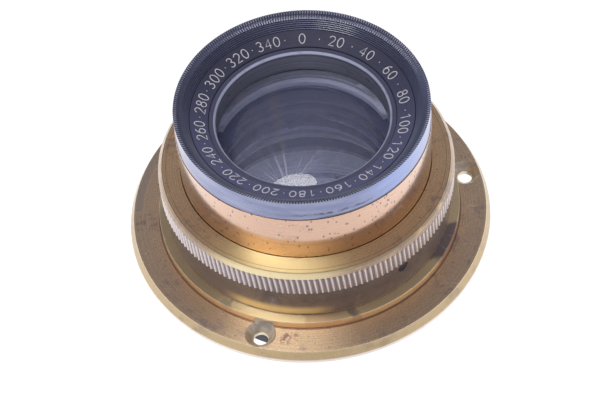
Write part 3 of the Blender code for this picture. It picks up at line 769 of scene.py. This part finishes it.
def make_control_ring():
    low, top, outer_r = reach("iris_control_ring")
    knurl_top = top - 0.8
    depth = 0.30

    def knurl(radius, z, azimuth):
        lean = math.tan(math.radians(KNURL_LEAN)) * (z - low) / outer_r
        phase = KNURL_TEETH * (azimuth + lean)
        valley = (0.5 - 0.5 * np.cos(phase)) ** 1.3
        ends = np.clip((knurl_top + 0.02 - z) / 0.12, 0, 1) * np.clip((z - low + 0.05) / 0.25, 0, 1)
        on_it = radius > outer_r - 0.28
        return radius - np.where(on_it, depth * valley * ends, 0.0), z, azimuth

    outline = [(20.95, top), (21.25, top - 0.35), (outer_r, knurl_top), (outer_r, low + 0.22),
               (outer_r - 0.25, low), (18.27, low), (18.27, top)]
    look = brass("ring_brass", (0.86, 0.61, 0.35), (0.58, 0.41, 0.31), 0.48, 0.40,
                 finish=ring_finish)
    ring = turn("control_ring_turned", outline, look, around=KNURL_TEETH * 10, edge=0.05, shape=knurl,
                fine=(0.42, low + 0.3, knurl_top - 0.1))
    ring.data.materials.append(knurl_material(outer_r - 0.02, outer_r - depth))
    for face in ring.data.polygons:
        middle = face.center / MM
        on_side = math.hypot(middle.x, middle.y) > outer_r - 0.36
        if on_side and low + 0.03 < middle.z < knurl_top + 0.01:
            face.material_index = 1
    hole = drill("drive_cut", 0.8, 5.0, -1.0, 40)
    hole.matrix_world = facing_out(DRIVE_AZIMUTH, 17.6, DRIVE_Z)
    cut_away(ring, hole)
    stand_for(ring, "iris_control", "ring_brass", "iris_control_ring")

    profile = [(0.0, DRIVE_HEAD_R), (0.5, 21.42), (0.68, 21.3), (0.7, 21.15), (0.7, 16.55), (0.0, 16.55)]
    screw = turn("drive_screw_turned", [(r, z - DRIVE_HEAD_R) for r, z in profile],
                 steel("screw_blued", (0.10, 0.10, 0.13)), around=48, closed=False)
    screw.data.transform(facing_out(DRIVE_AZIMUTH, DRIVE_HEAD_R, DRIVE_Z))
    blade_points = [(x, y, z) for x in (-0.12, 0.12) for y in (-1.0, 1.0) for z in (-0.32, 0.5)]
    blade_faces = [(0, 1, 3, 2), (4, 6, 7, 5), (0, 4, 5, 1), (2, 3, 7, 6), (0, 2, 6, 4), (1, 5, 7, 3)]
    blade = mesh_piece("blade_cut", blade_points, blade_faces, bare_metal)
    blade.matrix_world = facing_out(DRIVE_AZIMUTH, DRIVE_HEAD_R, DRIVE_Z)
    cut_away(screw, blade)
    stand_for(screw, "iris_control", "screw_steel", "iris_drive_screw")


# ---------------------------------------- cells

def make_rim():
    low, top, outer_r = reach("front_rim_ring")
    mouth_r, mouth_z, bore_r, step_z = RIM_MOUTH_R, RIM_MOUTH_Z, 16.0, 33.03

    def milled(radius, z, azimuth):
        tooth = np.abs(((azimuth * RIM_TEETH / (2 * math.pi)) % 1.0) - 0.5) * 2
        across = np.clip((radius - mouth_r - 0.05) / 0.15, 0, 1)
        on_face = (z > mouth_z - 0.02) & (radius > mouth_r)
        return radius, z - np.where(on_face, 0.13 * tooth * across, 0.0), azimuth

    wall = [(mouth_r, mouth_z)]
    grooves = 5
    for k in range(grooves):
        share = (k + 1) / grooves
        r = mouth_r + (bore_r - mouth_r) * share
        z = mouth_z + (step_z - mouth_z) * share
        wall += [(r + 0.13, z + 0.07), (r, z)]
    outline = [(outer_r, top), (outer_r, low - 0.1), (bore_r, low - 0.1)] + wall[:0:-1] + [wall[0]]
    rim = turn("rim_milled", outline, rim_material(), around=RIM_TEETH * 4, edge=0.04, shape=milled,
               fine=(0.5, 34.32, 35.0))
    stand_for(rim, "front_cell", "rim_nickel", "front_rim_ring")


def cone_z(radius):
    """Height of the name ring's cone at a radius."""
    (inner_r, inner_z), (far_r, far_z) = CONE_INNER, CONE_OUTER
    return inner_z + (far_z - inner_z) * (radius - inner_r) / (far_r - inner_r)


def make_name_ring():
    # The back of the name ring is darkened by painted shade.
    look = paint("enamel_black", (0.098, 0.105, 0.205), (0.22, 0.23, 0.34), 0.55, 0.25,
                 back_share=0.42)
    ring = turn("name_ring_turned", [(15.94, 33.07), (15.94, 31.4), (CONE_INNER[0], 31.4), CONE_INNER],
                look, around=480)
    stand_for(ring, "front_cell", "black_enamel", "front_name_ring")


def make_bezel():
    look = paint("bezel_black", (0.085, 0.090, 0.150), (0.32, 0.34, 0.44), 0.30, 0.5, worn_edge=31.5,
                 satin_wall=(28.2, 31.36, 0.27, 0.0))
    outline = [(13.3, 31.98), (13.3, 28.4), (12.3, 28.4), (12.3, 31.45), (12.55, 31.88)]
    bezel = turn("bezel_turned", outline, look, edge=0.05)
    stand_for(bezel, "front_cell", "black_brass", "front_bezel_ring")
    rear = turn("rear_bezel_turned", [(13.1, 4.2), (13.1, 1.2), (12.3, 1.2), (12.3, 4.2)], look, edge=0.05)
    stand_for(rear, "rear_cell", "black_brass", "rear_bezel_ring")


def make_cells():
    look = paint("cell_black", (0.045, 0.048, 0.080), (0.20, 0.18, 0.16), 0.42, 0.4,
                 satin_wall=(20.66, 27.0, 0.52, 0.035))
    low, top, outer_r = reach("front_cell_mount")
    outline = [(outer_r, top), (outer_r, 26.5), (14.8, 26.5), (14.8, low), (11.7, low), (11.7, low + 0.6),
               (12.75, low + 0.6), (12.75, 27.9), (13.4, 27.9), (13.4, top)]
    cell = turn("front_cell_turned", outline, look, shape=thread(26.6, 31.0, 0.30, outer_r),
                fine=(0.09, 26.5, top))
    stand_for(cell, "front_cell", "black_brass", "front_cell_mount")
    low, top, outer_r = reach("rear_cell_mount")
    thread_r = REAR_THREAD_R
    outline = [(14.8, top), (14.8, 7.5), (thread_r, 7.5), (thread_r, 5.0), (outer_r, 5.0),
               (outer_r, low + 0.3), (outer_r - 0.3, low), (16.6, low), (13.4, low + 1.5), (13.4, 4.7),
               (12.75, 4.7), (12.75, top - 0.6), (11.7, top - 0.6), (11.7, top)]
    rear_look = paint("rear_black", (0.028, 0.028, 0.040), (0.34, 0.26, 0.16), 0.36, 0.5)
    rear = turn("rear_cell_turned", outline, rear_look, shape=thread(5.15, 7.4, 0.28, thread_r),
                fine=(0.09, 5.02, 7.5))
    stand_for(rear, "rear_cell", "rear_black", "rear_cell_mount")


# ---------------------------------------- engraving

def oval(x, y, rx, ry, start=0, end=360, steps=20):
    angles = [math.radians(start + (end - start) * k / steps) for k in range(steps + 1)]
    return [(x + rx * math.cos(a), y + ry * math.sin(a)) for a in angles]


def digit_strokes(digit):
    """The engraver's strokes of a digit that is 0.6 wide and 1 high."""
    six = [oval(0.3, 0.3, 0.28, 0.3), oval(0.62, 0.32, 0.6, 0.68, 180, 108, 10)]
    strokes = {
        "0": [oval(0.3, 0.5, 0.29, 0.5)],
        "1": [[(0.1, 0.78), (0.33, 1.0), (0.33, 0.0)]],
        "2": [oval(0.29, 0.71, 0.27, 0.29, 165, -38, 12) + [(0.02, 0.0), (0.58, 0.0)]],
        "3": [oval(0.27, 0.76, 0.24, 0.24, 150, -90, 12) + oval(0.27, 0.26, 0.29, 0.26, 90, -150, 12)],
        "4": [[(0.45, 0.0), (0.45, 1.0), (0.0, 0.3), (0.6, 0.3)]],
        "5": [[(0.54, 1.0), (0.12, 1.0), (0.07, 0.55)] + oval(0.27, 0.31, 0.3, 0.31, 128, -150, 14)],
        "6": six,
        "7": [[(0.0, 1.0), (0.57, 1.0), (0.2, 0.0)]],
        "8": [oval(0.3, 0.76, 0.22, 0.24), oval(0.3, 0.27, 0.28, 0.27)],
        "9": [[(0.6 - x, 1.0 - y) for x, y in stroke] for stroke in six],
    }
    return strokes[digit]


def make_scale():
    """Plain degrees, engraved round the name ring and filled with white, their tops outwards."""
    height, advance, base_r, line = 1.5, 1.3, 13.86, 0.09
    slope = math.atan2(CONE_OUTER[1] - CONE_INNER[1], CONE_OUTER[0] - CONE_INNER[0])
    data = bpy.data.curves.new("scale_engraved", "CURVE")
    data.dimensions = "3D"
    data.bevel_depth = line * MM
    data.bevel_resolution = 1
    data.use_fill_caps = True

    def add(stroke, azimuth):
        spline = data.splines.new("POLY")
        spline.points.add(len(stroke) - 1)
        for point, (x, y) in zip(spline.points, stroke):
            r = base_r + y * math.cos(slope)
            a = math.radians(azimuth) - x / (base_r + height / 2)
            point.co = (r * math.cos(a) * MM, r * math.sin(a) * MM, (cone_z(r) - 0.03) * MM, 1.0)

    step = 20
    for degrees in range(0, 360, step):
        text = str(degrees)
        azimuth = 90.0 - degrees
        for k, digit in enumerate(text):
            left = (k - len(text) / 2) * advance + (advance - 0.6 * height) / 2
            for stroke in digit_strokes(digit):
                add([(left + x * height, y * height) for x, y in stroke], azimuth)
        add([(0.0, 0.62), (0.0, 0.78)], azimuth - step / 2)
    curve = bpy.data.objects.new("scale_curve", data)
    bpy.context.scene.collection.objects.link(curve)
    graph = bpy.context.evaluated_depsgraph_get()
    mesh = bpy.data.meshes.new_from_object(curve.evaluated_get(graph))
    bpy.data.objects.remove(curve)
    scale = bpy.data.objects.new("scale_engraved", mesh)
    bpy.context.scene.collection.objects.link(scale)
    look = Look("engraving_white")
    worn = look.noise(3.2, 4.0, 0.6)
    look.set(Base_Color=look.mix(look.rise(worn, 0.35, 0.6), (0.66, 0.66, 0.72), (0.95, 0.95, 0.98)),
             Roughness=look.math("MULTIPLY_ADD", worn, 0.3, 0.4), Normal=look.bump(worn, 0.01))
    mesh.materials.clear()
    mesh.materials.append(look.material)
    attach(scale, "front_cell")


# ---------------------------------------- glass

def fall(curve_r, radius):
    """How far a surface lies below its middle at a radius. A negative curve rises."""
    depth = abs(curve_r) - math.sqrt(curve_r ** 2 - radius ** 2)
    return math.copysign(depth, curve_r)


def make_element(name, edge_r, top, bottom, flip, faces, cemented, missing=""):
    """One glass element. top and bottom are (middle's z, curve radius), and cemented names the
    side or sides that are glued to a neighbour. A glued face is drawn once: the element whose
    side is missing shares its neighbour's."""
    rings = 20
    radii = [edge_r * (k / rings) ** 0.8 for k in range(rings + 1)]
    chamfer = 0.12
    radii = [r for r in radii if r < edge_r - chamfer]
    upper = [(r, top[0] - fall(top[1], r)) for r in radii]
    lower = [(r, bottom[0] - fall(bottom[1], r)) for r in reversed(radii)]
    upper_edge = top[0] - fall(top[1], edge_r)
    lower_edge = bottom[0] - fall(bottom[1], edge_r)
    side = [(edge_r, upper_edge - chamfer), (edge_r, lower_edge + chamfer)]
    profile = ([] if missing == "top" else upper) + side + ([] if missing == "bottom" else lower)
    if flip:
        profile = [(r, 2 * IRIS_Z - z) for r, z in profile]
    glass = turn(name, profile, faces[0], around=192, closed=False)
    for made in faces[1:]:
        glass.data.materials.append(made)
    for face in glass.data.polygons:
        centre = face.center / MM
        out = math.hypot(centre.x, centre.y)
        height = 2 * IRIS_Z - centre.z if flip else centre.z
        from_top = abs(height - top[0] + fall(top[1], out))
        is_top = from_top < abs(height - bottom[0] + fall(bottom[1], out))
        if out > edge_r - chamfer - 0.4 and abs(face.normal.z) < 0.8:
            face.material_index = 2
        elif ("top" if is_top else "bottom") in cemented:
            face.material_index = 1
    return glass



def make_glass():
    faces = glass_materials()
    vertex, first, second, inner = 30.9, 26.7, 25.4, 23.6
    gap = CEMENT_GAP / 2
    for side, flip in (("front", False), ("rear", True)):
        outer = make_element(f"{side}_glass_outer", 12.6, (vertex, 30.0), (first + gap, -80.0),
                             flip, faces, ("bottom",))
        middle = make_element(f"{side}_glass_middle", 12.6, (first - gap, -80.0), (second + gap, 28.0),
                              flip, faces, ("top", "bottom"), "top")
        last = make_element(f"{side}_glass_inner", 12.2, (second - gap, 28.0), (inner, 38.0),
                            flip, faces, ("top",), "top")
        for piece, node in ((outer, "outer"), (middle, "middle"), (last, "inner")):
            stand_for(piece, f"{side}_cell", "optical_glass", f"{side}_{node}_element")


# ---------------------------------------- iris

def make_cover_ring():
    """The dished ring over the iris, satin grey with stepped turning, dark on its flat inner part."""
    low, top, outer_r = reach("iris_cover_ring")
    look = Look("cover_satin")
    lines = look.stripes(look.along(), 1.6, 3.0)
    grain = look.noise(5.0, 3.0, 0.6)
    wall = look.rise(look.z, low + 0.42, low + 0.5)
    tone = look.mix(look.rise(lines, 0.3, 0.7), (0.07, 0.073, 0.115), (0.15, 0.15, 0.21))
    look.set(Base_Color=look.mix(wall, (0.05, 0.055, 0.09), tone), Metallic=0.1,
             Normal=look.bump(lines, 0.01), Roughness=look.math("MULTIPLY_ADD", grain, 0.2, 0.4))
    outline = [(outer_r, top), (outer_r, low), (11.6, low), (11.6, low + 0.4), (13.4, low + 0.4),
               (14.0, low + 0.95), (14.2, low + 0.98), (14.9, low + 1.6), (15.1, low + 1.63),
               (outer_r - 0.3, top)]
    cover = turn("cover_turned", outline, look.material, edge=0.04)
    stand_for(cover, "iris_control", "screw_steel", "iris_cover_ring")


def dress_iris():
    """The plates and leaves keep their CAD shapes and get worn matt black and blued steel."""
    black = paint("plate_black", (0.03, 0.03, 0.04), (0.16, 0.15, 0.16), 0.45, 0.5)
    blued = steel("leaf_blued", (0.10, 0.105, 0.15), 0.42)
    for name, node in CAD_NODES.items():
        if name in ("iris_base_plate", "iris_cam_ring") or name.startswith("iris_leaf"):
            node.data.materials.clear()
            node.data.materials.append(blued if "leaf" in name else black)


bare_metal = steel("cut_metal", (0.60, 0.52, 0.42), 0.42)
make_camera()
make_world()
make_floor()
lamp("overhead", -165.0, 80.0, 0.8, 0.22, 0.42, 7.6, (1.0, 0.98, 0.92))
make_flange()
make_main_barrel()
make_front_barrel()
make_control_ring()
make_rim()
make_name_ring()
make_scale()
make_bezel()
make_cells()
make_glass()
make_cover_ring()
dress_iris()
bpy.context.scene.view_settings.view_transform = "Standard"
